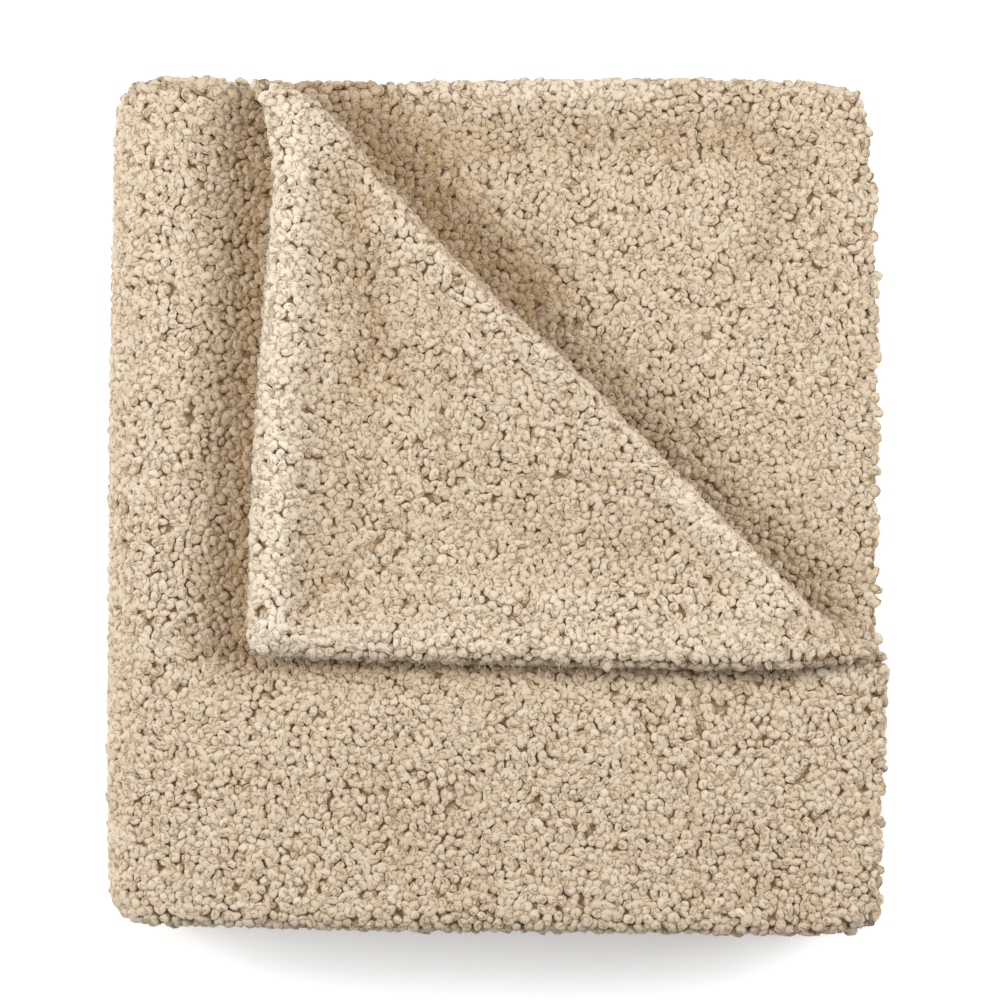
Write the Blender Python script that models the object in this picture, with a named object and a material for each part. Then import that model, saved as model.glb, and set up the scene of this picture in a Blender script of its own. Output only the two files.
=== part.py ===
"""Teddy fleece throw, folded to a pad with its top free corner turned back.

The cloth is one closed solid. It is cut flat, its free corner is turned over, then it is folded back and
forth in three, and the three together back and forth in four. Last, the pad settles out of square.
Metres, +Z up. Seen from above, the hems are at the right (+X) and the far side (+Y). The origin is at the
middle of the underside.
"""

import math

import bmesh
import bpy

# The cloth, pile and all, and how far apart its layers lie
CLOTH = 0.0070
GAP = 0.0008
PITCH = CLOTH + GAP

# The cut size, and how the flat cloth is folded: in three along Y first, then in four along X
FLAT_X = 1.516
FLAT_Y = 1.284
RUNS_Y = 3
RUNS_X = 4
BEND_Y = PITCH / 2
BEND_X = RUNS_Y * PITCH / 2
OVERHANG_Y = 0.007
OVERHANG_X = 0.023
STRAIGHT_Y = (FLAT_Y - 2 * OVERHANG_Y - (RUNS_Y - 1) * math.pi * BEND_Y) / RUNS_Y
STRAIGHT_X = (FLAT_X - 2 * OVERHANG_X - (RUNS_X - 1) * math.pi * BEND_X) / RUNS_X
PAD_HEIGHT = RUNS_X * RUNS_Y * PITCH - GAP

# The half extents of the folded pad, as far as its rolls reach
HALF_X = STRAIGHT_X / 2 + 2 * BEND_X - GAP / 2
HALF_Y = STRAIGHT_Y / 2 + BEND_Y + CLOTH / 2

# The turned corner: where its fold meets the far and the right hem, and the roll along that fold
TURN_X = 0.291
TURN_Y = 0.297
TURN_LENGTH = math.hypot(TURN_X, TURN_Y)
TURN_REACH = TURN_X * TURN_Y / TURN_LENGTH
ROLL = 0.0065
QUARTER = math.pi * ROLL / 2
SETTLE = 0.050
DRAWN_LEFT = 0.0165
ROLL_SPREAD = 0.090

# The turned corner's hems are plump: this much thicker, over this width
HEM_WIDTH = 0.020
HEM_PLUMP = 0.55
SQUASHED_HEM = 0.25

CORNER_ROUND = 0.009
PAD_ROUND = 0.022

# How the roll wanders: place along it from the far hem (0) to the right hem (1), and mm outward
ROLL_WANDER = (
    {"place": 0.00, "out": -6.0},
    {"place": 0.27, "out": -7.0},
    {"place": 0.46, "out": 0.5},
    {"place": 0.88, "out": 0.5},
    {"place": 1.00, "out": 10.0},
)

# How far out each layer's edge lies on each side of the pad, in mm, from the top layer down
LAYERS = (
    {"left": 0.0, "right": 0.0, "front": 0.0, "back": 0.0},
    {"left": 0.5, "right": -8.0, "front": 0.0, "back": -2.5},
    {"left": 0.5, "right": -4.0, "front": -2.0, "back": -2.0},
    {"left": 0.0, "right": -1.5, "front": -1.5, "back": 0.0},
    {"left": -1.0, "right": -0.5, "front": -0.5, "back": -0.5},
    {"left": -1.5, "right": 0.0, "front": 0.0, "back": -3.0},
    {"left": -1.0, "right": 0.0, "front": -1.0, "back": -1.5},
    {"left": 0.0, "right": -1.0, "front": -2.0, "back": -0.5},
    {"left": 0.5, "right": -2.0, "front": -3.5, "back": 0.0},
    {"left": 0.5, "right": -3.5, "front": -1.5, "back": -1.0},
    {"left": 0.0, "right": -1.5, "front": -0.5, "back": -1.5},
    {"left": -0.5, "right": -4.5, "front": 0.0, "back": -3.0},
)

# How far each corner of the pad lies from square, in mm
CORNERS = (
    {"right": 0, "far": 0, "out_x": -2.0, "out_y": 3.0},
    {"right": 1, "far": 0, "out_x": 2.0, "out_y": -2.5},
    {"right": 0, "far": 1, "out_x": 2.0, "out_y": 1.0},
    {"right": 1, "far": 1, "out_x": -6.0, "out_y": -2.0},
)

# Soft swells and dents of the sides: their place and spread along the side, and how far out, in mm
SWELLS = (
    {"side": "right", "place": 102, "spread": 60, "out": -2.8},
    {"side": "right", "place": -97, "spread": 70, "out": 1.7},
    {"side": "left", "place": 143, "spread": 35, "out": 1.8},
    {"side": "left", "place": 25, "spread": 90, "out": -2.0},
    {"side": "left", "place": -150, "spread": 45, "out": 1.0},
    {"side": "back", "place": -48, "spread": 60, "out": 1.8},
    {"side": "back", "place": 60, "spread": 28, "out": 1.2},
    {"side": "back", "place": 104, "spread": 28, "out": -2.0},
    {"side": "front", "place": -105, "spread": 24, "out": 1.7},
    {"side": "front", "place": -55, "spread": 45, "out": -1.7},
    {"side": "front", "place": 126, "spread": 50, "out": 1.0},
)

# The pad is crowned: how much lower its top is at each side
DROP_X = 0.0030
DROP_Y = 0.0040

# How finely the cloth is divided: a short step at both ends of each straight run and even steps between,
# then around each bend, around the roll, and up the hem
END_STEP = 0.011
STEPS_X = 5
STEPS_Y = 5
BEND_STEPS_X = 8
BEND_STEPS_Y = 6
ROLL_STEPS = 6
CUT_LEVELS = (-0.2, 0.2)

MILLIMETRE = 0.001
WELD = 0.0001
NODE_NAME = "throw"
FLEECE_COLOUR = (0.57, 0.45, 0.32, 1.0)


def ease(share):
    """A soft step from 0 to 1 as share runs from 0 to 1."""
    share = min(max(share, 0.0), 1.0)
    return share * share * (3.0 - 2.0 * share)


def read_off(rows, column, place_column, place):
    """The value that a table's column has at a place, easing from row to row."""
    for low, high in zip(rows, rows[1:]):
        if place <= high[place_column]:
            share = (place - low[place_column]) / (high[place_column] - low[place_column])
            return low[column] + (high[column] - low[column]) * ease(share)
    return rows[-1][column]


def turn_corner(along_x, along_y, offset):
    """Turns the free corner over its diagonal. Takes and gives distances in from the right and far hems
    and the height above the middle of the cloth."""
    distance = (TURN_X * TURN_Y - along_x * TURN_Y - along_y * TURN_X) / TURN_LENGTH
    place = (TURN_X * (TURN_X - along_x) + along_y * TURN_Y) / TURN_LENGTH
    wander = read_off(ROLL_WANDER, "out", "place", min(max(place / TURN_LENGTH, 0.0), 1.0)) * MILLIMETRE
    wander *= 1.0 - ease(abs(distance) / ROLL_SPREAD)
    moved = distance
    height = offset
    drawn = 0.0
    if distance > QUARTER:
        hem = 1.0 - ease((min(along_x, along_y) - HEM_WIDTH / 2) / HEM_WIDTH)
        past_roll = distance - QUARTER
        plump = HEM_PLUMP * hem * ease(past_roll / HEM_WIDTH)
        lowered = (2 * ROLL - PITCH) * ease(past_roll / SETTLE)
        moved = -distance
        height = 2 * ROLL - lowered - offset * (1.0 + plump) + plump * CLOTH / 2
        drawn = DRAWN_LEFT * (1.0 - (1.0 - past_roll / (TURN_REACH - QUARTER)) ** 3)
    elif distance > -QUARTER:
        angle = (distance + QUARTER) / ROLL
        moved = (ROLL - offset) * math.sin(angle) - QUARTER
        height = ROLL - (ROLL - offset) * math.cos(angle)
    shift = (moved - distance + wander) / TURN_LENGTH
    return along_x - shift * TURN_Y + drawn, along_y - shift * TURN_X, height


def fold(along, offset, straight, bend, runs):
    """Folds a cloth back and forth, from its top run down. Takes the length along it and the height above
    its middle, and gives the place across the pad and the height over the top run."""
    step = straight + math.pi * bend
    run = min(max(int(along // step), 0), runs - 1)
    way = 1 if run % 2 == 0 else -1
    inside = along - run * step
    up = way * offset
    across = inside if way > 0 else straight - inside
    if inside > straight and run < runs - 1:
        angle = (inside - straight) / bend
        radius = bend + way * offset
        across = (straight if way > 0 else 0.0) + way * radius * math.sin(angle)
        up = radius * math.cos(angle) - bend
    return across, up - 2 * bend * run


def side_shift(side, layer, along):
    """How far out one side of the pad lies, at a layer counted from the top and a place along the side."""
    above = min(int(layer), len(LAYERS) - 2)
    share = layer - above
    shift = LAYERS[above][side] * (1.0 - share) + LAYERS[above + 1][side] * share
    for swell in SWELLS:
        if swell["side"] == side:
            away = (along / MILLIMETRE - swell["place"]) / swell["spread"]
            shift += swell["out"] * math.exp(-away * away)
    return shift * MILLIMETRE


def round_off(x, y):
    """Rounds the pad's four corners, seen from above, by the ellipse rule that turns a square to a disc."""
    past_x = (abs(x) - HALF_X) / PAD_ROUND + 1.0
    past_y = (abs(y) - HALF_Y) / PAD_ROUND + 1.0
    if past_x <= 0.0 or past_y <= 0.0:
        return x, y
    round_x = past_x * math.sqrt(1.0 - past_y * past_y / 2)
    round_y = past_y * math.sqrt(1.0 - past_x * past_x / 2)
    x = math.copysign(HALF_X + PAD_ROUND * (round_x - 1.0), x)
    y = math.copysign(HALF_Y + PAD_ROUND * (round_y - 1.0), y)
    return x, y


def settle_pad(x, y, z):
    """Moves a point of the square pad to where the settled one has it."""
    layer = min(max((PAD_HEIGHT - CLOTH / 2 - z) / PITCH, 0.0), len(LAYERS) - 1.0)
    share_x = x / HALF_X
    share_y = y / HALF_Y
    side_x = "right" if x > 0.0 else "left"
    side_y = "back" if y > 0.0 else "front"
    out_x = math.copysign(side_shift(side_x, layer, y), x) * ease(abs(share_x) * 2 - 1)
    out_y = math.copysign(side_shift(side_y, layer, x), y) * ease(abs(share_y) * 2 - 1)
    x, y = round_off(x, y)
    for corner in CORNERS:
        weight_x = (1.0 + share_x) / 2 if corner["right"] else (1.0 - share_x) / 2
        weight_y = (1.0 + share_y) / 2 if corner["far"] else (1.0 - share_y) / 2
        out_x += corner["out_x"] * MILLIMETRE * weight_x * weight_y
        out_y += corner["out_y"] * MILLIMETRE * weight_x * weight_y
    drop = DROP_X * share_x ** 4 + DROP_Y * share_y ** 4
    return x + out_x, y + out_y, z * (1.0 - drop / PAD_HEIGHT)


def round_rim(flat):
    """Draws the cut edge in at its top and bottom, so that the hem is half round, and less so at the roll,
    where turning squashes it."""
    distance = (TURN_X * TURN_Y - flat.x * TURN_Y - flat.y * TURN_X) / TURN_LENGTH
    fullness = SQUASHED_HEM + (1.0 - SQUASHED_HEM) * ease((abs(distance) - QUARTER) / HEM_WIDTH)
    depth = fullness * (CLOTH / 2 - math.sqrt(max((CLOTH / 2) ** 2 - flat.z ** 2, 0.0)))
    along_x = min(max(flat.x, depth), FLAT_X - depth)
    along_y = min(max(flat.y, depth), FLAT_Y - depth)
    return along_x, along_y


def place_vertex(flat):
    """Where a point of the flat cloth lies on the folded pad."""
    along_x, along_y = round_rim(flat)
    along_x, along_y, height = turn_corner(along_x, along_y, flat.z)
    across_y, up = fold(along_y - OVERHANG_Y, height, STRAIGHT_Y, BEND_Y, RUNS_Y)
    middle = (RUNS_Y - 1) * PITCH / 2
    across_x, up = fold(along_x - OVERHANG_X, up + middle, STRAIGHT_X, BEND_X, RUNS_X)
    z = up + PAD_HEIGHT - CLOTH / 2 - middle
    return settle_pad(STRAIGHT_X / 2 - across_x, STRAIGHT_Y / 2 - across_y, z)


def stations(straight, bend, runs, overhang, steps, bend_steps):
    """The places along the flat cloth where it is divided, in its runs and around its bends."""
    places = []
    for run in range(runs):
        start = overhang + run * (straight + math.pi * bend)
        end = start + straight
        even = (straight - 2 * END_STEP) / steps
        places += [start] + [start + END_STEP + even * step for step in range(steps + 1)] + [end]
        if run < runs - 1:
            places += [end + math.pi * bend * step / bend_steps for step in range(1, bend_steps)]
    return places


def cut(mesh, point, normal):
    """Divides the whole cloth along a plane."""
    geometry = mesh.verts[:] + mesh.edges[:] + mesh.faces[:]
    bmesh.ops.bisect_plane(mesh, geom=geometry, dist=WELD / 10, plane_co=point, plane_no=normal)


def flat_cloth():
    """The cloth as cut: a thin slab with round corners, divided where it will bend."""
    mesh = bmesh.new()
    bmesh.ops.create_grid(mesh, x_segments=1, y_segments=1, size=0.5)
    for vertex in mesh.verts:
        vertex.co.x = (vertex.co.x + 0.5) * FLAT_X
        vertex.co.y = (vertex.co.y + 0.5) * FLAT_Y
        vertex.co.z = -CLOTH / 2
    bmesh.ops.bevel(
        mesh, geom=mesh.verts[:], offset=CORNER_ROUND, segments=3, profile=0.5, affect="VERTICES"
    )
    for place in stations(STRAIGHT_X, BEND_X, RUNS_X, OVERHANG_X, STEPS_X, BEND_STEPS_X):
        cut(mesh, (place, 0, 0), (1, 0, 0))
    for place in stations(STRAIGHT_Y, BEND_Y, RUNS_Y, OVERHANG_Y, STEPS_Y, BEND_STEPS_Y):
        cut(mesh, (0, place, 0), (0, 1, 0))
    diagonal = (TURN_Y / TURN_LENGTH, TURN_X / TURN_LENGTH, 0)
    turns = [QUARTER * (2 * step / ROLL_STEPS - 1) for step in range(ROLL_STEPS + 1)]
    for distance in turns + [QUARTER + SETTLE / 2, QUARTER + SETTLE]:
        point = (TURN_X - distance * diagonal[0], -distance * diagonal[1], 0)
        cut(mesh, point, diagonal)
    bmesh.ops.remove_doubles(mesh, verts=mesh.verts[:], dist=WELD)
    bmesh.ops.triangulate(mesh, faces=[face for face in mesh.faces if len(face.verts) > 4])
    raised = bmesh.ops.extrude_face_region(mesh, geom=mesh.faces[:])["geom"]
    for item in raised:
        if isinstance(item, bmesh.types.BMVert):
            item.co.z = CLOTH / 2
    for level in CUT_LEVELS:
        cut(mesh, (0, 0, level * CLOTH), (0, 0, 1))
    bmesh.ops.recalc_face_normals(mesh, faces=mesh.faces[:])
    return mesh


def fleece():
    """Curly teddy fleece, oat beige, matt."""
    material = bpy.data.materials.new("teddy fleece")
    material.use_nodes = True
    shader = material.node_tree.nodes["Principled BSDF"]
    shader.inputs["Base Color"].default_value = FLEECE_COLOUR
    shader.inputs["Roughness"].default_value = 0.95
    shader.inputs["Metallic"].default_value = 0.0
    return material


def build_throw(collection):
    """Folds the flat cloth and stands it on the ground, centred."""
    mesh = flat_cloth()
    for vertex in mesh.verts:
        vertex.co = place_vertex(vertex.co)
    lowest = min(vertex.co.z for vertex in mesh.verts)
    middle_x = (min(v.co.x for v in mesh.verts) + max(v.co.x for v in mesh.verts)) / 2
    middle_y = (min(v.co.y for v in mesh.verts) + max(v.co.y for v in mesh.verts)) / 2
    bmesh.ops.translate(mesh, verts=mesh.verts[:], vec=(-middle_x, -middle_y, -lowest))
    data = bpy.data.meshes.new(NODE_NAME)
    mesh.to_mesh(data)
    mesh.free()
    data.materials.append(fleece())
    data.shade_smooth()
    throw = bpy.data.objects.new(NODE_NAME, data)
    collection.objects.link(throw)
    return throw


for leftover in list(bpy.data.objects):
    bpy.data.objects.remove(leftover, do_unlink=True)
pieces = bpy.data.collections.new("teddy fleece throw")
bpy.context.scene.collection.children.link(pieces)
build_throw(pieces)
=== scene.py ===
import math

import bmesh
import bpy
import numpy as np
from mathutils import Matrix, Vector
from mathutils.bvhtree import BVHTree
from mathutils.kdtree import KDTree


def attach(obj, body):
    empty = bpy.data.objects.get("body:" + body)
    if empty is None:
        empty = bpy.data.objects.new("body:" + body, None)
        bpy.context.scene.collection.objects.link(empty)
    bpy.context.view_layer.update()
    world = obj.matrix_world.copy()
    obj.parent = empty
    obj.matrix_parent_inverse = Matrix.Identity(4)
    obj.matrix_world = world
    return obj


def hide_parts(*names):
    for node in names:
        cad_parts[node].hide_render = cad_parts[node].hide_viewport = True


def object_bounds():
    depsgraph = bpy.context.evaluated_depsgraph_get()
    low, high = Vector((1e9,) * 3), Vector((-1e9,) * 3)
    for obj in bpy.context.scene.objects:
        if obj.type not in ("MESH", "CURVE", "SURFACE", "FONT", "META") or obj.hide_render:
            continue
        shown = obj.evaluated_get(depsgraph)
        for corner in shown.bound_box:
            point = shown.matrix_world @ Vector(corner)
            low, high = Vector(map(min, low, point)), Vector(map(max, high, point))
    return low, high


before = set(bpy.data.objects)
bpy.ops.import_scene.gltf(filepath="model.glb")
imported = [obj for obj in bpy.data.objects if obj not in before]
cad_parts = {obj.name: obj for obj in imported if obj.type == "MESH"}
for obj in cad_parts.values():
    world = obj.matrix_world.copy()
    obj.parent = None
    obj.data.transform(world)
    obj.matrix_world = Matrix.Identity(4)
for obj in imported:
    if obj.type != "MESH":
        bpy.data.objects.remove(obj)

cad_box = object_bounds()


# ---------------------------------------------------------------------------------------------------------
# The cloth of the throw: one length of weft-knitted polyester ground that carries teddy pile on both faces.
# It is folded in three one way and in four the other into a pad of twelve layers, one free corner is turned
# back over the top, and its wide sewn hem, mitred at the corner, shows as soft ridges and creases.

MM = 0.001

# The pile stands this far off the ground, so the ground lies this far inside the outer surface.
PILE_DEPTH = 2.6 * MM

# The solid's points that lie this near are one, and its triangles join to quads that bend and skew by up to
# these angles.
WELD = 0.02 * MM
QUAD_BEND = math.radians(25)
QUAD_SKEW = math.radians(50)

# Edges of the sheet are no longer than this on top, and than twice this where it shows elsewhere. Long ones
# are halved, in this many rounds at most.
FINE_EDGE = 6.0 * MM
HALVINGS = 4

# A spot is open to the air if enough of its rays get this far. One ray goes straight out, and the rest lie
# in rings, each with its lean in degrees and its number of rays, and turned on by its lean's share of a
# right angle so that no two line up. They start this many mm off the cloth, in the middle of a face and
# near its corners. A face whose normal points down by more than this isn't tested.
OPEN_REACH = 0.30
OPEN_SHARE = 0.08
RAY_RINGS = ((35, 6), (62, 8), (80, 10))
RIGHT_ANGLE = 90
RAY_START = 0.4
NEAR_CORNER = 0.85
FACING_DOWN = -0.75

# Creases pressed into the pad below the turned corner: the line that each one follows from above, how far
# it spreads and how deep it is, all in mm. A ridge has negative depth. The sharper one is, the flatter its
# floor and the steeper its sides.
PAD_CREASES = (
    # The hollow along the left free edge of the corner, and the swell beside it
    {
        "line": ((-117, 193), (-119, 130), (-124, 29), (-126, -66)),
        "spread": 24, "deep": 7.0, "sharp": 2.6,
    },
    {"line": ((-170, 190), (-171, 60), (-174, -60)), "spread": 14, "deep": -1.5, "sharp": 2},
    # The hollow below its lower free edge, which closes where the corner runs out at the right
    {"line": ((-90, -75), (60, -76), (145, -76)), "spread": 13, "deep": 6.0, "sharp": 2},
    {"line": ((174, -76), (198, -78)), "spread": 13, "deep": -3.5, "sharp": 2},
    # The hollow along the fold, deepest and widest at its upper end
    {
        "line": ((-84, 208), (-23, 128), (32, 82), (98, 14), (160, -46)),
        "spread": 27, "deep": 5.0, "sharp": 1.6,
    },
    {"line": ((-62, 196), (-38, 170), (-8, 136), (16, 112)), "spread": 21, "deep": 6.0, "sharp": 2},
    # Slack in the uncovered layer, behind the far rim and down its right side
    {"line": ((-23, 186), (40, 188), (120, 187)), "spread": 14, "deep": 4.0, "sharp": 2},
    {"line": ((120, 195), (150, 178), (140, 140), (133, 122)), "spread": 9, "deep": 3.5, "sharp": 2},
    # Shallow dips towards the near rim
    {"line": ((-60, -150), (-20, -185)), "spread": 25, "deep": 1.5, "sharp": 2},
    {"line": ((125, -180), (160, -195)), "spread": 20, "deep": 1.5, "sharp": 2},
)

# Creases pressed into the turned corner itself
CORNER_CREASES = (
    # The rolled hem along the left free edge, and the trough inside it
    {"line": ((-102, 195), (-103, 130), (-108, 29), (-112, -60)), "spread": 10, "deep": -6.0, "sharp": 2},
    {"line": ((-72, 165), (-66, 115), (-60, 70)), "spread": 12, "deep": 5.3, "sharp": 2},
    {"line": ((-66, 60), (-78, 0), (-94, -40)), "spread": 18, "deep": 2.4, "sharp": 2},
    # The two swells of the hem along the lower free edge
    {"line": ((-15, -47), (60, -49), (140, -52)), "spread": 8, "deep": -3.0, "sharp": 2},
    {"line": ((-100, -64), (0, -65), (150, -66)), "spread": 7, "deep": -2.5, "sharp": 2},
    # The slack middle, and the roll along the fold
    {"line": ((-10, -10), (80, -15)), "spread": 16, "deep": 1.5, "sharp": 2},
    {
        "line": ((-99, 204), (-29, 121), (27, 76), (92, 8), (148, -47)),
        "spread": 8, "deep": -2.5, "sharp": 2,
    },
    # The right end, pressed down into the pad
    {"line": ((155, -58), (192, -68)), "spread": 16, "deep": 3.5, "sharp": 2},
)

# The corner lies above this level in the middle of the pad, whose top falls towards its rims by these. The
# higher the power, the longer it stays flat.
CORNER_LEVEL = 91.5 * MM
LEVEL_BLEND = 3.0 * MM
CROWN_X = 3.0 * MM
CROWN_Y = 4.0 * MM
CROWN_POWER = 4

# Creases in the pad fade out between these levels, as the lower layers lie flat.
FLAT_BELOW = 45.0 * MM
FULL_ABOVE = 85.0 * MM

# The corner's upper face turns into its lower one where its normal points up or down by less than this.
TURNING = 0.3

# Above this level lie the top of the pad and the turned corner.
TOP_LEVEL = 75.0 * MM

# The sheet is made finer under the creases of more than this many mm, in the layers above this level.
DEEP_CREASE = 3.0
CREASED_ABOVE = 60.0 * MM

# Where the corner's fold runs off the far rim, its tip is wider than a sharp fold would leave it. Its free
# edge and its fold are lines through these places, each given as y and then x.
FREE_EDGE = ((0.123, -0.1114), (0.200, -0.1035))
FOLD = ((0.123, -0.0239), (0.207, -0.1000))

# From this y on, the free edge swings out by this much over this run, along a curve of this power, and then
# goes on for a fifth of the run at most. The fold swings out by this slope, from a little before its first
# place.
EDGE_FROM = 0.165
EDGE_OUT = 16.0 * MM
EDGE_RUN = 0.042
EDGE_MOST = 1.2
EDGE_POWER = 1.3
FOLD_FROM = 0.123
FOLD_EARLIER = 0.018
FOLD_SLOPE = 0.092

# The tip slides out over the rim from the first y and rolls down it from the second, each over its run.
SLIDE_FROM = 0.165
SLIDE_RUN = 0.040
SLIDE_OUT = 6.0 * MM
ROLL_FROM = 0.180
ROLL_RUN = 0.030
ROLL_DOWN = 6.0 * MM

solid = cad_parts["throw"]


def ray_fan():
    """Directions spread over a half sphere around +Z."""
    fan = [Vector((0.0, 0.0, 1.0))]
    for lean, count in RAY_RINGS:
        for step in range(count):
            turn = 2 * math.pi * (step + lean / RIGHT_ANGLE) / count
            tilt = math.radians(lean)
            flat = math.sin(tilt)
            fan.append(Vector((flat * math.cos(turn), flat * math.sin(turn), math.cos(tilt))))
    return fan


def openness(tree, fan, place, normal):
    """The share of directions in which this spot of the cloth looks out into the open."""
    turn = Vector((0.0, 0.0, 1.0)).rotation_difference(normal)
    start = place + normal * RAY_START * MM
    free = sum(tree.ray_cast(start, turn @ ray, OPEN_REACH)[0] is None for ray in fan)
    return free / len(fan)


def off_line(x, y, line):
    """How far each place lies from a line through points in mm."""
    nearest = np.full(np.shape(x), np.inf)
    for (x0, y0), (x1, y1) in zip(line, line[1:]):
        run_x, run_y = (x1 - x0) * MM, (y1 - y0) * MM
        share = ((x - x0 * MM) * run_x + (y - y0 * MM) * run_y) / (run_x ** 2 + run_y ** 2)
        share = np.clip(share, 0.0, 1.0)
        far = np.hypot(x - x0 * MM - share * run_x, y - y0 * MM - share * run_y)
        nearest = np.minimum(nearest, far)
    return nearest


def creased(x, y, creases):
    """How deep the creases press the cloth at each place."""
    deep = np.zeros(np.shape(x))
    for crease in creases:
        far = off_line(x, y, crease["line"]) / (crease["spread"] * MM)
        deep += crease["deep"] * MM * np.exp(-far ** crease["sharp"])
    return deep


def ease(share):
    """Rises smoothly from 0 to 1."""
    share = np.clip(share, 0.0, 1.0)
    return share * share * (3.0 - 2.0 * share)


def on_corner(places):
    """How far each place belongs to the turned corner and not to the pad under it."""
    x, y, z = places.T
    fall = CROWN_X * (x / cad_box[1][0]) ** CROWN_POWER + CROWN_Y * (y / cad_box[1][1]) ** CROWN_POWER
    return ease((z + fall - CORNER_LEVEL) / LEVEL_BLEND)


def pressed(places, normals):
    """How far down the creases press each place. The corner's underside follows its troughs only."""
    x, y, z = places.T
    corner = creased(x, y, CORNER_CREASES)
    pad = creased(x, y, PAD_CREASES) * ease((z - FLAT_BELOW) / (FULL_ABOVE - FLAT_BELOW))
    upward = ease((normals[:, 2] + TURNING) / (2 * TURNING))
    under = np.maximum(np.maximum(corner, 0.0), pad)
    share = on_corner(places)
    return share * (upward * corner + (1.0 - upward) * under) + (1.0 - share) * pad


def spread_tip(places):
    """Widens the corner's upper tip and rolls it over the far rim."""
    x, y, z = places.T
    share = on_corner(places)
    left = np.interp(y, *zip(*FREE_EDGE))
    right = np.interp(y, *zip(*FOLD))
    across = np.clip((x - left) / (right - left), 0.0, 1.0)
    to_left = EDGE_OUT * np.clip((y - EDGE_FROM) / EDGE_RUN, 0.0, EDGE_MOST) ** EDGE_POWER
    to_right = FOLD_SLOPE * np.clip(y - FOLD_FROM + FOLD_EARLIER, 0.0, None)
    places[:, 0] += share * (across * to_right - (1.0 - across) * to_left)
    places[:, 1] += share * SLIDE_OUT * ease((y - SLIDE_FROM) / SLIDE_RUN)
    places[:, 2] -= share * ROLL_DOWN * ease((y - ROLL_FROM) / ROLL_RUN)


def longest_at(edge, open_to_air):
    """How long an edge of the sheet may be: short where it shows, or where a deep crease presses it."""
    start, end = (corner.co for corner in edge.verts)
    if any(face[open_to_air] > 0.0 for face in edge.link_faces):
        return FINE_EDGE if start.z > TOP_LEVEL else 2 * FINE_EDGE
    if start.z < CREASED_ABOVE:
        return math.inf
    middle = (start + end) / 2
    for crease in PAD_CREASES:
        reach = crease["spread"] * MM + edge.calc_length() / 2
        if crease["deep"] > DEEP_CREASE and off_line(middle.x, middle.y, crease["line"]) < reach:
            return 2 * FINE_EDGE
    return math.inf


def make_cloth():
    """Lays a thin sheet on the folds of the solid, rounds them off and presses in the creases."""
    data = bpy.data.meshes.new("cloth")
    mesh = bmesh.new()
    mesh.from_mesh(solid.data)
    bmesh.ops.remove_doubles(mesh, verts=mesh.verts[:], dist=WELD)
    bmesh.ops.join_triangles(
        mesh, faces=mesh.faces[:], angle_face_threshold=QUAD_BEND, angle_shape_threshold=QUAD_SKEW
    )
    mesh.to_mesh(data)
    mesh.free()
    cloth = bpy.data.objects.new("cloth", data)
    bpy.context.scene.collection.objects.link(cloth)
    rounding = cloth.modifiers.new("rounding", "SUBSURF")
    rounding.levels = 1
    rounding.render_levels = 1
    bpy.context.view_layer.update()
    mesh = bmesh.new()
    mesh.from_object(cloth, bpy.context.evaluated_depsgraph_get())
    cloth.modifiers.remove(rounding)
    mesh.normal_update()

    tree = BVHTree.FromBMesh(mesh)
    fan = ray_fan()
    open_to_air = mesh.faces.layers.float.new("open")
    for face in mesh.faces:
        if face.normal.z < FACING_DOWN:
            continue
        middle = face.calc_center_median()
        spots = [middle] + [middle.lerp(corner.co, NEAR_CORNER) for corner in face.verts]
        face[open_to_air] = max(openness(tree, fan, spot, face.normal) for spot in spots)
    for _ in range(HALVINGS):
        long_edges = [edge for edge in mesh.edges if edge.calc_length() > longest_at(edge, open_to_air)]
        if not long_edges:
            break
        bmesh.ops.subdivide_edges(mesh, edges=long_edges, cuts=1, use_grid_fill=True)
    bmesh.ops.triangulate(mesh, faces=[face for face in mesh.faces if len(face.verts) > 4])
    mesh.normal_update()
    for face in mesh.faces:
        if face[open_to_air] > 0.0:
            face[open_to_air] = openness(tree, fan, face.calc_center_median(), face.normal)

    places = np.array([vertex.co for vertex in mesh.verts])
    normals = np.array([vertex.normal for vertex in mesh.verts])
    places -= normals * PILE_DEPTH
    places[:, 2] -= pressed(places, normals)
    spread_tip(places)
    for vertex, place in zip(mesh.verts, places):
        vertex.co = place
    mesh.to_mesh(data)
    mesh.free()
    data.shade_smooth()
    return cloth


cloth = make_cloth()


def hex_colour(text):
    """An sRGB hex colour as linear light, by the curve of the sRGB standard."""
    parts = [int(text[place:place + 2], 16) / 255 for place in (1, 3, 5)]
    linear = [part / 12.92 if part <= 0.04045 else ((part + 0.055) / 1.055) ** 2.4 for part in parts]
    return (*linear, 1.0)


def add(tree, kind, inputs=None, stops=(), **settings):
    """Adds a node with its settings, its inputs as values or links, and the colour stops of a ramp."""
    node = tree.nodes.new(kind)
    for name, value in settings.items():
        setattr(node, name, value)
    for name, value in (inputs or {}).items():
        if isinstance(value, bpy.types.NodeSocket):
            tree.links.new(value, node.inputs[name])
        else:
            node.inputs[name].default_value = value
    while stops and len(node.color_ramp.elements) < len(stops):
        node.color_ramp.elements.new(0.5)
    for number, (place, colour) in enumerate(stops):
        node.color_ramp.elements[number].position = place
        node.color_ramp.elements[number].color = hex_colour(colour)
    return node


# One tuft springs every 4 mm or so, out of a pit of this depth.
TUFT_SPACING = 4 * MM
TUFT_PITS = 1.5 * MM


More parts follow.
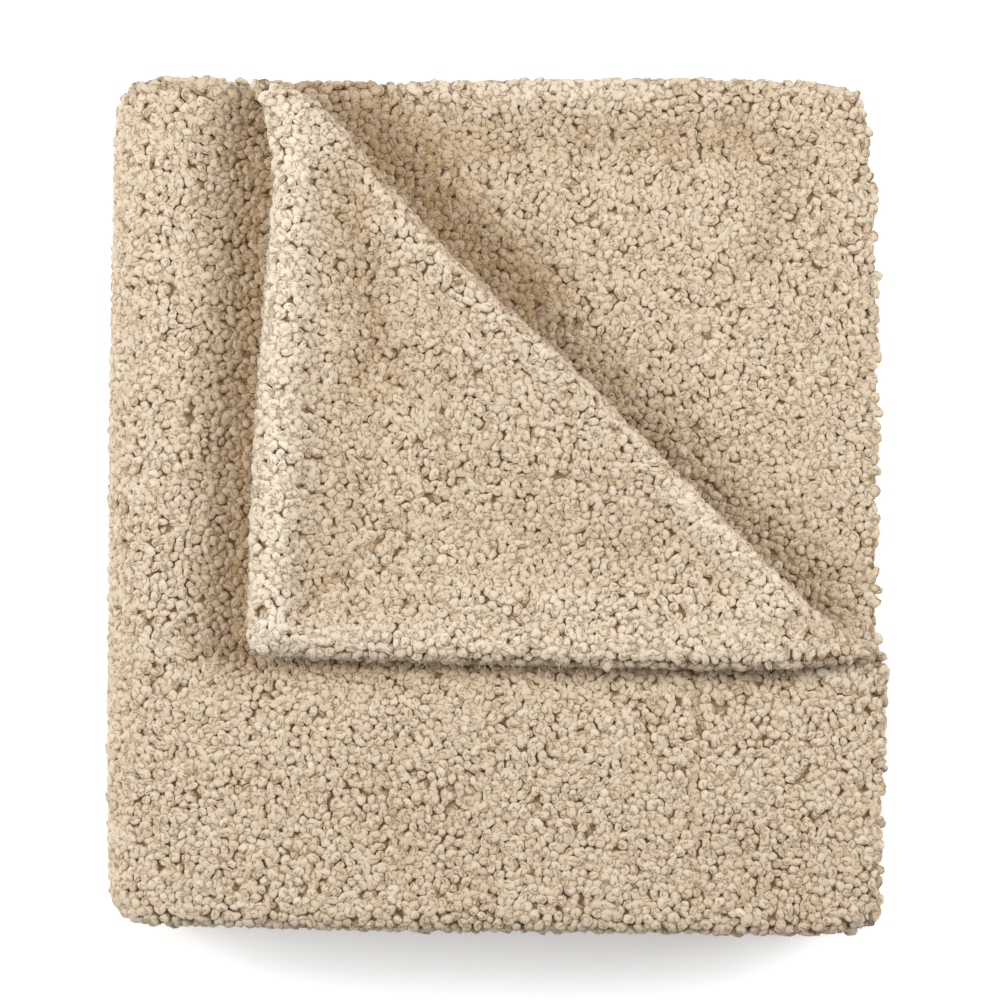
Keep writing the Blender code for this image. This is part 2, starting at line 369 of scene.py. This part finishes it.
def knitted_ground():
    """Weft-knitted polyester: matt, painted darker and browner than the pile as the shade that fills the
    gaps between curls, and pitted where the pile springs from it."""
    material = bpy.data.materials.new("weft-knitted polyester ground")
    material.use_nodes = True
    tree = material.node_tree
    tree.nodes.clear()
    where = add(tree, "ShaderNodeTexCoord")
    tufts = add(
        tree, "ShaderNodeTexVoronoi",
        {"Vector": where.outputs["Object"], "Scale": 1 / TUFT_SPACING, "Randomness": 1.0},
    )
    # Painted shade: the ground darkens from the middle of each tuft out to its edge, where it lies in the
    # shade between the curls.
    ramp = add(
        tree, "ShaderNodeValToRGB", {"Fac": tufts.outputs["Distance"]}, ((0.0, "#b8a17f"), (0.6, "#a18865"))
    )
    bump = add(
        tree, "ShaderNodeBump",
        {"Height": tufts.outputs["Distance"], "Strength": 0.8, "Distance": TUFT_PITS}, invert=True,
    )
    shader = add(
        tree, "ShaderNodeBsdfPrincipled",
        {
            "Base Color": ramp.outputs["Color"], "Normal": bump.outputs["Normal"], "Roughness": 0.95,
            "Specular IOR Level": 0.1,
        },
    )
    add(tree, "ShaderNodeOutputMaterial", {"Surface": shader.outputs["BSDF"]})
    return material


cloth.data.materials.clear()
cloth.data.materials.append(knitted_ground())
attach(cloth, "root")
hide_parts("throw")


# ---------------------------------------------------------------------------------------------------------
# The teddy pile: polyester yarn knitted into the ground and tumbled hot until it curls up into dense round
# curls 4 to 6 mm across, each wound like a snail. They stand shoulder to shoulder on every open face, part
# along seams, and are pressed flat under the pad.

# A curl's shape from crown to root: how far out and up each ring of it lies, as shares of its radius and
# height, and how deep its root. Underneath, curls are flattened and wider.
CURL_RINGS = ((0.60, 0.84), (0.97, 0.34), (0.88, -0.30))
FLAT_RINGS = ((0.75, 0.70), (1.0, 0.10))
ROOT_DEPTH = 0.55

# Where the curls stand: how near two of them may be, how many pieces they are kept in, how much they differ
# among themselves (1 is fully, less is calmer), and the shape of each.
PILE_GROUPS = {
    "top": {"spacing": 3.4 * MM, "pieces": 4, "calm": 1.0, "rings": CURL_RINGS, "sides": 8},
    "side": {"spacing": 3.8 * MM, "pieces": 2, "calm": 0.6, "rings": CURL_RINGS, "sides": 8},
    "under": {"spacing": 5.5 * MM, "pieces": 1, "calm": 0.6, "rings": FLAT_RINGS, "sides": 6},
}

# The top's faces point no further down than this, and those underneath lie below this level.
TOP_FACING = -0.2
UNDERSIDE_LEVEL = 6 * MM

# Spots are tried at random, this many for each square of the spacing. Then they push each other apart in
# rounds: each of so many nearest neighbours pushes by a share of what it lies short of the reach, which is
# given in spacings.
PILE_SEED = 7
TRIES = 11
PUSH_ROUNDS = 12
PUSHED_BY = 8
PUSH_REACH = 1.55
PUSH = 0.2

# The room around a curl is how far off so many neighbours are on average, within these limits by spacing.
# Its radius is a share of that.
ROOM_NEIGHBOURS = 6
ROOM_LIMITS = (1.15, 1.5)
CURL_REACH = 0.65

# How curls differ: a share of them leans far over and the rest a little, some are bigger, some are drawn
# out long, none is quite round, and each stands a little higher or lower over its root. Calm ones are lower
# too.
CURL_SEED = 20
SLUMPED_SHARE = 0.25
SLUMPED_LEAN = 0.55
UPRIGHT_LEAN = 0.2
SIZES_VARY = 0.10
SIZE_LIMITS = (0.75, 1.3)
LENGTHS_VARY = 0.17
LONGEST = 0.22
ROUNDNESS_VARIES = 0.12
ROUNDNESS_LIMITS = (0.7, 1.3)
HEIGHTS_VARY = 0.10
HEIGHT_LIMITS = (0.75, 1.25)
LOWEST_CROWN = 0.78
CALMEST_CROWN = 0.75
CURL_LIFT = 1.0 * MM
LIFT_VARIES = 0.28 * MM
LIFT_LIMITS = (-0.3 * MM, 2.0 * MM)

# How far a curl's shading leans towards the cloth's own, as light passes through its fibres.
SOFTNESS = 0.6

# The pile parts along sewn or pressed lines, in mm: on the pad, then on the turned corner. The curls sink
# along them by their depth, and painted shade darkens them there.
PAD_PARTINGS = (
    {"line": ((101, -84), (103, -112)), "spread": 2.8, "deep": 1.5, "sharp": 2},
    {"line": ((103, -112), (100, -150), (102, -180), (101, -213)), "spread": 2.6, "deep": 0.8, "sharp": 2},
    {"line": ((77, -85), (76, -120)), "spread": 2.2, "deep": 0.6, "sharp": 2},
)
CORNER_PARTINGS = (
    {"line": ((-27, 112), (-27, 60), (-25, 15)), "spread": 2.8, "deep": 1.1, "sharp": 2},
    {"line": ((-25, 15), (30, 15), (96, 13)), "spread": 2.4, "deep": 0.9, "sharp": 2},
    {"line": ((-104, -56), (-72, -28), (-46, -6)), "spread": 3.2, "deep": 1.0, "sharp": 2},
    {"line": ((77, -38), (77, -68)), "spread": 2.4, "deep": 1.0, "sharp": 2},
)

# Along the free edges the pile is brushed out and fuzzier, and painted paler there as a highlight on the
# rolled edges. Here depth is its strength in thousandths, and the curls have up to this much more room.
BRUSHED_ROOM = 0.12
CORNER_BRUSHED_AND_HIGHLIT = (
    {
        "line": ((-122, 212), (-117, 190), (-111, 165), (-111, 130), (-114, 29), (-120, -70)),
        "spread": 14, "deep": 550, "sharp": 3,
    },
    {"line": ((-118, -70), (0, -71), (165, -71)), "spread": 6, "deep": 700, "sharp": 3},
    {"line": ((92, 8), (148, -47), (192, -66)), "spread": 8, "deep": 700, "sharp": 3},
)
PAD_BRUSHED_AND_HIGHLIT = ({"line": ((-92, 214), (78, 214)), "spread": 8, "deep": 800, "sharp": 3},)

# How much a painted highlight pales the pile along the free edges, how much painted shade darkens it per
# metre of crease and of parting, and how much single curls differ in tone at random, all on a scale from 0,
# darkest, to 1, palest. A crease is measured this far off the ground, and a spot is the corner's if it lies
# this far above the pad's level.
PLAIN_TINT = 0.5
TINT_LIMITS = (0.05, 1.0)
EDGE_PAINTED_HIGHLIGHT = 0.22
CREASE_PAINTED_SHADE = 42.0
PARTING_PAINTED_SHADE = 150.0
CURL_TINT = 0.05
CREASE_MEASURED = 0.5 * MM
CORNER_MARGIN = 1.0 * MM


def all_triangles(target):
    """The cloth's triangles: their corners, their corners' normals, and how open they lie."""
    mesh = bmesh.new()
    mesh.from_mesh(target.data)
    bmesh.ops.triangulate(mesh, faces=mesh.faces[:])
    mesh.normal_update()
    open_to_air = mesh.faces.layers.float["open"]
    corners = np.array([[tuple(corner.co) for corner in face.verts] for face in mesh.faces])
    normals = np.array([[tuple(corner.normal) for corner in face.verts] for face in mesh.faces])
    shares = np.array([face[open_to_air] for face in mesh.faces])
    mesh.free()
    return corners, normals, shares


def scatter(corners, normals, spacing, seed):
    """Spots spread over the triangles, none nearer than the spacing."""
    rng = np.random.default_rng(seed)
    first_side = corners[:, 1] - corners[:, 0]
    second_side = corners[:, 2] - corners[:, 0]
    areas = np.linalg.norm(np.cross(first_side, second_side), axis=1) / 2
    tries = int(TRIES * areas.sum() / spacing ** 2)
    chosen = rng.choice(len(areas), tries, p=areas / areas.sum())
    a, b = rng.random(tries), rng.random(tries)
    flip = a + b > 1
    a[flip], b[flip] = 1 - a[flip], 1 - b[flip]
    weights = np.stack([1 - a - b, a, b], axis=1)[:, :, None]
    places = (corners[chosen] * weights).sum(axis=1)
    facing = (normals[chosen] * weights).sum(axis=1)
    facing /= np.linalg.norm(facing, axis=1, keepdims=True)
    cells = {}
    kept = []
    around = [(i, j, k) for i in (-1, 0, 1) for j in (-1, 0, 1) for k in (-1, 0, 1)]
    listed = places.tolist()
    for index, (i, j, k) in enumerate(np.floor(places / spacing).astype(int).tolist()):
        place = listed[index]
        near = (other for di, dj, dk in around for other in cells.get((i + di, j + dj, k + dk), ()))
        if all(math.dist(place, listed[other]) >= spacing for other in near):
            cells.setdefault((i, j, k), []).append(index)
            kept.append(index)
    return places[kept], facing[kept]


def neighbours(places, count):
    """Each spot's nearest neighbours and how far off they lie."""
    tree = KDTree(len(places))
    for index, place in enumerate(places):
        tree.insert(place, index)
    tree.balance()
    found = [tree.find_n(place, count + 1)[1:] for place in places]
    near = np.array([[other[1] for other in spot] for spot in found])
    far = np.array([[other[2] for other in spot] for spot in found])
    return near, far


def spread_out(places, facing, spacing):
    """Lets crowded spots push each other apart along the cloth, until they lie evenly."""
    for _ in range(PUSH_ROUNDS):
        near, far = neighbours(places, PUSHED_BY)
        away = (places[:, None] - places[near]) / far[:, :, None]
        missing = np.clip(PUSH_REACH * spacing - far, 0.0, None)
        push = (away * missing[:, :, None]).sum(axis=1) * PUSH
        push -= facing * (push * facing).sum(axis=1, keepdims=True)
        places = places + push
    return places


def joined_mesh(name, points, tris):
    """Many small pieces of the same make as one mesh: points by piece, and the triangles of one piece."""
    count, per = points.shape[:2]
    index = (np.array(tris)[None] + (np.arange(count) * per)[:, None, None]).reshape(-1)
    data = bpy.data.meshes.new(name)
    data.vertices.add(count * per)
    data.vertices.foreach_set("co", points.astype(np.float32).ravel())
    data.loops.add(len(index))
    data.loops.foreach_set("vertex_index", index.astype(np.int32))
    data.polygons.add(len(index) // 3)
    data.polygons.foreach_set("loop_start", np.arange(0, len(index), 3, dtype=np.int32))
    data.update(calc_edges=True)
    data.shade_smooth()
    made = bpy.data.objects.new(name, data)
    bpy.context.scene.collection.objects.link(made)
    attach(made, "root")
    return made


def curl_triangles(rings, sides):
    """The triangles of one curl: a crown, its rings, and a root point."""
    root = 1 + rings * sides
    tris = []
    for side in range(sides):
        after = (side + 1) % sides
        tris.append((0, 1 + side, 1 + after))
        tris.append((root, root - sides + after, root - sides + side))
        for ring in range(rings - 1):
            upper, lower = 1 + ring * sides, 1 + (ring + 1) * sides
            tris.append((upper + side, lower + side, upper + after))
            tris.append((upper + after, lower + side, lower + after))
    return tris


def make_curls(name, places, facing, room, shade, group, seed):
    """Curls of pile, each a small uneven knob that leans its own way, with the turns of its yarn kept on it
    as its winding: out from the crown in the first two numbers, and where it starts in the third."""
    rng = np.random.default_rng(seed)
    count = len(places)
    calm, rings, sides = group["calm"], group["rings"], group["sides"]
    lean = rng.normal(0.0, 1.0, (count, 3))
    lean *= np.where(rng.random(count) < SLUMPED_SHARE, SLUMPED_LEAN, UPRIGHT_LEAN)[:, None] * calm
    axis = facing + lean
    axis /= np.linalg.norm(axis, axis=1, keepdims=True)
    first = np.cross(axis, rng.normal(0.0, 1.0, (count, 3)))
    first /= np.linalg.norm(first, axis=1, keepdims=True)
    second = np.cross(axis, first)
    size = CURL_REACH * room * np.clip(rng.normal(1.0, SIZES_VARY, count), *SIZE_LIMITS)
    long = np.exp(np.minimum(np.abs(rng.normal(0.0, LENGTHS_VARY, count)), LONGEST))
    tall = size * rng.uniform(LOWEST_CROWN, 1.0, count) * (CALMEST_CROWN + (1 - CALMEST_CROWN) * calm)
    lift = np.clip(rng.normal(CURL_LIFT, LIFT_VARIES * calm, count), *LIFT_LIMITS)
    turn = rng.uniform(0.0, 2 * math.pi, count)

    points = [places + axis * (lift + tall)[:, None]]
    winding = [np.zeros((count, 3))]
    for ring, (out, up) in enumerate(rings, start=1):
        for side in range(sides):
            angle = turn + 2 * math.pi * (side + ring / 2) / sides
            uneven = np.clip(rng.normal(1.0, ROUNDNESS_VARIES * calm, count), *ROUNDNESS_LIMITS)
            x = size * out * uneven * np.cos(angle) * long
            y = size * out * uneven * np.sin(angle) / long
            height = lift + tall * up * np.clip(rng.normal(1.0, HEIGHTS_VARY, count), *HEIGHT_LIMITS)
            points.append(places + first * x[:, None] + second * y[:, None] + axis * height[:, None])
            arc = ring / len(rings)
            winding.append(np.stack([arc * np.cos(angle), arc * np.sin(angle), np.zeros(count)], axis=1))
    points.append(places + axis * (lift - ROOT_DEPTH * tall)[:, None])
    winding.append(np.zeros((count, 3)))
    points = np.stack(points, axis=1)
    points[:, :, 2] = np.maximum(points[:, :, 2], cad_box[0][2])
    winding = np.stack(winding, axis=1)
    winding[:, :, 0] *= rng.choice([-1.0, 1.0], count)[:, None]
    winding[:, :, 2] = rng.random(count)[:, None]

    curls = joined_mesh(name, points, curl_triangles(len(rings), sides))
    data = curls.data
    per = points.shape[1]
    soft = np.empty(count * per * 3, dtype=np.float32)
    data.vertex_normals.foreach_get("vector", soft)
    soft = soft.reshape(-1, 3) + SOFTNESS * np.repeat(facing, per, axis=0)
    data.normals_split_custom_set_from_vertices(soft / np.linalg.norm(soft, axis=1, keepdims=True))
    # Painted shade in creases and partings, a painted highlight along the free edges, and a random tone per
    # curl
    tone_and_painted_light = np.clip(shade + rng.normal(0.0, CURL_TINT, count), 0.0, 1.0)
    tone_and_painted_light = np.repeat(tone_and_painted_light, per).astype(np.float32)
    data.attributes.new("tone_and_painted_light", "FLOAT", "POINT").data.foreach_set("value", tone_and_painted_light)
    winding = winding.astype(np.float32).ravel()
    data.attributes.new("winding", "FLOAT_VECTOR", "POINT").data.foreach_set("vector", winding)
    return curls


# Turns of yarn from crown to root, and the plies that show side by side on each turn. The yarn wanders off
# its spiral every 2.4 mm or so, by this much across it in both directions and along it.
CURL_TURNS = 1.1
CURL_PLIES = 3
YARN_WANDERS = 2.4 * MM
WANDERS_BY = (0.9, 0.9, 0.3)

# Single fibres are 0.02 mm thick. They are drawn as flecks of 0.6 mm, the finest that show.
FLECK = 0.6 * MM

# The relief of the yarn: how high its plies and its flecks stand and from what level, and how deep it all
# is. The higher its power, the narrower is the groove between two turns.
PLY_HEIGHT = 1.2
PLY_LEVEL = -0.1
FLECK_HEIGHT = 0.4
FLECK_LEVEL = -0.2
GROOVE_POWER = 3.5
YARN_RELIEF = 0.5 * MM

# How strongly painted shade browns a curl's grooves and its rim, where it meets its neighbours. The higher
# its power, the narrower is the rim.
GROOVE_PAINTED_SHADE = 0.85
RIM_POWER = 4.0
RIM_PAINTED_SHADE = 0.78


def teddy_curls():
    """Curled polyester yarn: matt oat beige with a faint sheen of fibre, each curl wound in a flat spiral
    whose grooves are painted browner as shade, browner still where it meets its neighbours, and whose plies
    are painted paler as highlights."""
    material = bpy.data.materials.new("curled polyester teddy yarn")
    material.use_nodes = True
    tree = material.node_tree
    tree.nodes.clear()
    where = add(tree, "ShaderNodeTexCoord").outputs["Object"]
    tone_and_painted_light = add(tree, "ShaderNodeAttribute", attribute_name="tone_and_painted_light")
    winding = add(tree, "ShaderNodeAttribute", attribute_name="winding")

    # How far out from the crown a point lies, as the yarn wanders
    wander = add(tree, "ShaderNodeTexNoise", {"Vector": where, "Scale": 1 / YARN_WANDERS, "Detail": 1.0})
    off = add(
        tree, "ShaderNodeVectorMath", {0: wander.outputs["Color"], 1: (0.5, 0.5, 0.5)}, operation="SUBTRACT"
    )
    wound = add(
        tree, "ShaderNodeVectorMath",
        {0: off.outputs["Vector"], 1: WANDERS_BY, 2: winding.outputs["Vector"]}, operation="MULTIPLY_ADD",
    )
    flat = add(
        tree, "ShaderNodeVectorMath", {0: wound.outputs["Vector"], 1: (1.0, 1.0, 0.0)}, operation="MULTIPLY"
    )
    length = add(tree, "ShaderNodeVectorMath", {0: flat.outputs["Vector"]}, operation="LENGTH")
    out = length.outputs["Value"]

    # How many turns along the spiral it lies, and the groove that runs between two turns
    part = add(tree, "ShaderNodeSeparateXYZ", {"Vector": wound.outputs["Vector"]})
    angle = add(tree, "ShaderNodeMath", {0: part.outputs["Y"], 1: part.outputs["X"]}, operation="ARCTAN2")
    turns = add(
        tree, "ShaderNodeMath", {0: angle.outputs[0], 1: 1 / (2 * math.pi), 2: part.outputs["Z"]},
        operation="MULTIPLY_ADD",
    )
    along = add(
        tree, "ShaderNodeMath", {0: out, 1: CURL_TURNS, 2: turns.outputs[0]}, operation="MULTIPLY_ADD"
    )
    phase = add(tree, "ShaderNodeMath", {0: along.outputs[0]}, operation="FRACT")
    across = add(
        tree, "ShaderNodeMath", {0: phase.outputs[0], 1: 2.0, 2: -1.0}, operation="MULTIPLY_ADD"
    )
    from_middle = add(tree, "ShaderNodeMath", {0: across.outputs[0]}, operation="ABSOLUTE")
    narrow = add(tree, "ShaderNodeMath", {0: from_middle.outputs[0], 1: GROOVE_POWER}, operation="POWER")
    groove = narrow.outputs[0]

    # Between two grooves the plies run side by side: a ply is a ridge, painted palest along its middle as a
    # highlight.
    ply = add(tree, "ShaderNodeMath", {0: along.outputs[0], 1: 0.5 / CURL_PLIES}, operation="PINGPONG")
    plied = add(
        tree, "ShaderNodeMath", {0: ply.outputs[0], 1: PLY_HEIGHT, 2: PLY_LEVEL}, operation="MULTIPLY_ADD"
    )
    fibre = add(
        tree, "ShaderNodeTexNoise", {"Vector": where, "Scale": 1 / FLECK, "Detail": 2.0, "Roughness": 0.6}
    )
    fuzz = add(
        tree, "ShaderNodeMath", {0: fibre.outputs["Fac"], 1: FLECK_HEIGHT, 2: FLECK_LEVEL},
        operation="MULTIPLY_ADD",
    )
    strand = add(tree, "ShaderNodeMath", {0: plied.outputs[0], 1: fuzz.outputs[0]}, operation="ADD")
    relief = add(tree, "ShaderNodeMath", {0: strand.outputs[0], 1: groove}, operation="SUBTRACT")
    bump = add(
        tree, "ShaderNodeBump", {"Height": relief.outputs[0], "Strength": 0.6, "Distance": YARN_RELIEF}
    )

    # The yarn is painted paler on its ridges as a highlight, and browner in its grooves and out at the rim
    # of the curl as painted shade. Its flecks differ in tone at random.
    painted_light_and_tone = add(tree, "ShaderNodeMath", {0: strand.outputs[0], 1: tone_and_painted_light.outputs["Fac"]}, operation="ADD")
    ramp = add(
        tree, "ShaderNodeValToRGB", {"Fac": painted_light_and_tone.outputs[0]},
        ((0.0, "#96784e"), (0.5, "#c4b59f"), (1.0, "#dad0bf")),
    )
    groove_painted_shade = add(tree, "ShaderNodeMath", {0: groove, 1: GROOVE_PAINTED_SHADE}, operation="MULTIPLY")
    groove_shaded = add(
        tree, "ShaderNodeMix",
        {"Factor": groove_painted_shade.outputs[0], 6: ramp.outputs["Color"], 7: hex_colour("#af9870")},
        data_type="RGBA", blend_type="MULTIPLY",
    )
    rim = add(tree, "ShaderNodeMath", {0: out, 1: 1.0}, operation="MINIMUM")
    edge = add(tree, "ShaderNodeMath", {0: rim.outputs[0], 1: RIM_POWER}, operation="POWER")
    rim_painted_shade = add(tree, "ShaderNodeMath", {0: edge.outputs[0], 1: RIM_PAINTED_SHADE}, operation="MULTIPLY")
    colour = add(
        tree, "ShaderNodeMix",
        {"Factor": rim_painted_shade.outputs[0], 6: groove_shaded.outputs[2], 7: hex_colour("#a4865a")},
        data_type="RGBA", blend_type="MULTIPLY",
    )
    shader = add(
        tree, "ShaderNodeBsdfPrincipled",
        {
            "Base Color": colour.outputs[2], "Normal": bump.outputs["Normal"], "Roughness": 0.9,
            "Specular IOR Level": 0.15, "Sheen Weight": 0.15,
        },
    )
    add(tree, "ShaderNodeOutputMaterial", {"Surface": shader.outputs["BSDF"]})
    return material


corners, normals, open_shares = all_triangles(cloth)
levels = corners[:, :, 2].mean(axis=1)
slopes = normals[:, :, 2].mean(axis=1)
shown = open_shares > OPEN_SHARE
on_top = shown & (slopes > TOP_FACING) & (levels > TOP_LEVEL)
underneath = (slopes < FACING_DOWN) & (levels < UNDERSIDE_LEVEL)

teddy = teddy_curls()
pile = []
rooted = []
for name, chosen in (("top", on_top), ("side", shown & ~on_top), ("under", underneath)):
    group = PILE_GROUPS[name]
    spacing = group["spacing"]
    places, facing = scatter(corners[chosen], normals[chosen], spacing, PILE_SEED)
    places = spread_out(places, facing, spacing)
    room = neighbours(places, ROOM_NEIGHBOURS)[1].mean(axis=1)
    room = np.clip(room, ROOM_LIMITS[0] * spacing, ROOM_LIMITS[1] * spacing)
    x, y, z = places.T
    corner = z > CORNER_LEVEL + CORNER_MARGIN
    top = z > TOP_LEVEL
    parted = np.where(corner, creased(x, y, CORNER_PARTINGS), creased(x, y, PAD_PARTINGS) * top)
    brushed_and_highlit = np.where(corner, creased(x, y, CORNER_BRUSHED_AND_HIGHLIT), creased(x, y, PAD_BRUSHED_AND_HIGHLIT) * top)
    brushed_and_highlit = np.clip(brushed_and_highlit, 0.0, 1.0)
    # Painted shade: the deeper a crease or parting presses the curls, the darker they are painted; a
    # painted highlight pales them along the free edges.
    shade = PLAIN_TINT - CREASE_PAINTED_SHADE * pressed(places + facing * CREASE_MEASURED, facing)
    shade = np.clip(shade - PARTING_PAINTED_SHADE * parted + EDGE_PAINTED_HIGHLIGHT * brushed_and_highlit, *TINT_LIMITS)
    places = places - facing * parted[:, None]
    room = room * (1.0 + BRUSHED_ROOM * brushed_and_highlit)
    rooted.append((name, places, facing, brushed_and_highlit))
    for part, mine in enumerate(np.array_split(np.argsort(places[:, 1]), group["pieces"]), start=1):
        curls = make_curls(
            f"pile_{name}_{part}", places[mine], facing[mine], room[mine], shade[mine], group,
            CURL_SEED + len(pile),
        )
        curls.data.materials.append(teddy)
        pile.append(curls)


# ---------------------------------------------------------------------------------------------------------
# Loose fibres: single ends of the same polyester that stand out of the pile as a faint fuzz, thickest where
# the free edges of the turned corner are brushed out.

# Real ends are far finer. They are drawn as bundles thick enough to show, which taper to a point.
FIBRE_RADIUS = 0.13 * MM
FIBRE_TAPER = 0.8
FIBRE_SIDES = 3

# How many stand on a curl on average, and how many more where it is brushed out
FIBRES_OPEN = {"top": 0.15, "side": 0.5, "under": 0.0}
FIBRES_BRUSHED = 7.0
FIBRES_SEED = 11

# In mm, how long they are, how high on the curl they start, and how far off its middle
FIBRE_LENGTHS = (2.2, 5.0)
FIBRE_ROOTS = (1.6, 3.0)
FIBRE_STRAYS = 0.8

# How far they stand up and lean over, how much they bend, and their length below and above the bend
FIBRE_UPRIGHT = 0.55
FIBRE_LEAN = 0.6
FIBRE_BEND = 0.5
FIBRE_BELOW = 0.55
FIBRE_ABOVE = 0.45
FIBRE_SHAPE_SEED = 31


def make_fibres(name, places, facing, seed):
    """Fine bent spines that taper to nothing."""
    rng = np.random.default_rng(seed)
    count = len(places)
    way = facing * FIBRE_UPRIGHT + rng.normal(0.0, FIBRE_LEAN, (count, 3))
    way /= np.linalg.norm(way, axis=1, keepdims=True)
    bend = rng.normal(0.0, 1.0, (count, 3))
    bend /= np.linalg.norm(bend, axis=1, keepdims=True)
    first = np.cross(way, bend)
    first /= np.linalg.norm(first, axis=1, keepdims=True)
    second = np.cross(way, first)
    reach = rng.uniform(*FIBRE_LENGTHS, count)[:, None] * MM
    root = places + facing * rng.uniform(*FIBRE_ROOTS, count)[:, None] * MM
    root = root + rng.normal(0.0, FIBRE_STRAYS, (count, 3)) * MM
    middle = root + way * reach * FIBRE_BELOW
    tip = middle + (way + FIBRE_BEND * bend) * reach * FIBRE_ABOVE
    points = []
    for centre, thick in ((root, FIBRE_RADIUS), (middle, FIBRE_TAPER * FIBRE_RADIUS)):
        for side in range(FIBRE_SIDES):
            angle = 2 * math.pi * side / FIBRE_SIDES
            points.append(centre + (first * math.cos(angle) + second * math.sin(angle)) * thick)
    points = np.stack(points + [tip], axis=1)
    points[:, :, 2] = np.maximum(points[:, :, 2], cad_box[0][2])
    tris = []
    for side in range(FIBRE_SIDES):
        after = (side + 1) % FIBRE_SIDES
        up, up_after = FIBRE_SIDES + side, FIBRE_SIDES + after
        tris += [(side, after, up_after), (side, up_after, up), (up, up_after, 2 * FIBRE_SIDES)]
    return joined_mesh(name, points, tris)


# Paler and darker patches of fuzz lie this far apart.
FUZZ_PATCHES = 17 * MM


def loose_fibre():
    """Polyester fibre ends: paler than the curls, with a soft sheen along them."""
    material = bpy.data.materials.new("loose polyester fibre")
    material.use_nodes = True
    tree = material.node_tree
    tree.nodes.clear()
    where = add(tree, "ShaderNodeTexCoord")
    patches = add(
        tree, "ShaderNodeTexNoise",
        {"Vector": where.outputs["Object"], "Scale": 1 / FUZZ_PATCHES, "Detail": 1.0},
    )
    ramp = add(
        tree, "ShaderNodeValToRGB", {"Fac": patches.outputs["Fac"]}, ((0.0, "#d3c5ae"), (1.0, "#e3d8c6"))
    )
    shader = add(
        tree, "ShaderNodeBsdfPrincipled",
        {
            "Base Color": ramp.outputs["Color"], "Roughness": 0.8, "Specular IOR Level": 0.2,
            "Sheen Weight": 0.3,
        },
    )
    add(tree, "ShaderNodeOutputMaterial", {"Surface": shader.outputs["BSDF"]})
    return material


rng = np.random.default_rng(FIBRES_SEED)
fibre_places = []
fibre_facing = []
for name, places, facing, brushed_and_highlit in rooted:
    times = rng.poisson(FIBRES_OPEN[name] + FIBRES_BRUSHED * brushed_and_highlit)
    fibre_places.append(np.repeat(places, times, axis=0))
    fibre_facing.append(np.repeat(facing, times, axis=0))
fibre_places = np.concatenate(fibre_places)
fibre_facing = np.concatenate(fibre_facing)
fibres = make_fibres("fibres", fibre_places, fibre_facing, FIBRE_SHAPE_SEED)
fibres.data.materials.append(loose_fibre())


# ---------------------------------------------------------------------------------------------------------
# The floor: a wide sheet of matt white card, lit a little from below as a light table is, which keeps the
# shadow of the throw faint.

FLOOR_REACH = 12.0

floor_data = bpy.data.meshes.new("floor")
floor_mesh = bmesh.new()
bmesh.ops.create_grid(floor_mesh, x_segments=1, y_segments=1, size=FLOOR_REACH)
floor_mesh.to_mesh(floor_data)
floor_mesh.free()
floor = bpy.data.objects.new("floor", floor_data)
floor.location.z = cad_box[0][2]
bpy.context.scene.collection.objects.link(floor)

# White card: matt, with no gloss to catch the lamps
card = bpy.data.materials.new("matt white card")
card.use_nodes = True
card.node_tree.nodes.clear()
card_shader = add(
    card.node_tree, "ShaderNodeBsdfPrincipled",
    {
        "Base Color": hex_colour("#f4f4f4"), "Roughness": 0.8, "Emission Color": hex_colour("#ffffff"),
        "Emission Strength": 0.2,
    },
)
add(card.node_tree, "ShaderNodeOutputMaterial", {"Surface": card_shader.outputs["BSDF"]})
floor_data.materials.append(card)


# ---------------------------------------------------------------------------------------------------------
# The light: two large softboxes low at the left and right, the left one stronger, one higher on the far
# side, and a dim white room around them.

LIGHT_DISTANCE = 2.2
ROOM_LIGHT = 0.38

# Each softbox: the direction that it stands in and its height, both in degrees, its side in metres and its
# power in watts
SOFTBOXES = (
    {"name": "left softbox", "turn": 172, "height": 38, "size": 1.1, "power": 41.0},
    {"name": "right softbox", "turn": 18, "height": 35, "size": 1.1, "power": 36.0},
    {"name": "far softbox", "turn": 92, "height": 60, "size": 1.3, "power": 14.0},
)

world = bpy.data.worlds.new("studio")
world.use_nodes = True
world.node_tree.nodes["Background"].inputs["Color"].default_value = (1.0, 1.0, 1.0, 1.0)
world.node_tree.nodes["Background"].inputs["Strength"].default_value = ROOM_LIGHT
bpy.context.scene.world = world

for stand in SOFTBOXES:
    turn = math.radians(stand["turn"])
    height = math.radians(stand["height"])
    flat = math.cos(height)
    place = Vector((flat * math.cos(turn), flat * math.sin(turn), math.sin(height))) * LIGHT_DISTANCE
    lamp = bpy.data.lights.new(stand["name"], "AREA")
    lamp.shape = "SQUARE"
    lamp.size = stand["size"]
    lamp.energy = stand["power"]
    softbox = bpy.data.objects.new(stand["name"], lamp)
    softbox.location = place
    softbox.rotation_euler = (-place).to_track_quat("-Z", "Y").to_euler()
    bpy.context.scene.collection.objects.link(softbox)


# ---------------------------------------------------------------------------------------------------------
# The camera: it hangs straight above the throw, a little off its centre, with a full-frame sensor. Its lens
# is as long as it takes to see just this width at the top of the pad.

CAMERA_HEIGHT = 2.0
CAMERA_OFF_CENTRE = (2.2 * MM, 3.5 * MM)
PAD_TOP = 93.0 * MM
SEEN_WIDTH = 0.5045
SENSOR_WIDTH = 36.0

camera_data = bpy.data.cameras.new("camera")
camera_data.sensor_width = SENSOR_WIDTH
camera_data.lens = SENSOR_WIDTH * (CAMERA_HEIGHT - PAD_TOP) / SEEN_WIDTH
camera = bpy.data.objects.new("camera", camera_data)
camera.location = (*CAMERA_OFF_CENTRE, CAMERA_HEIGHT)
bpy.context.scene.collection.objects.link(camera)
bpy.context.scene.camera = camera
bpy.context.scene.view_settings.view_transform = "Standard"

bpy.context.view_layer.update()
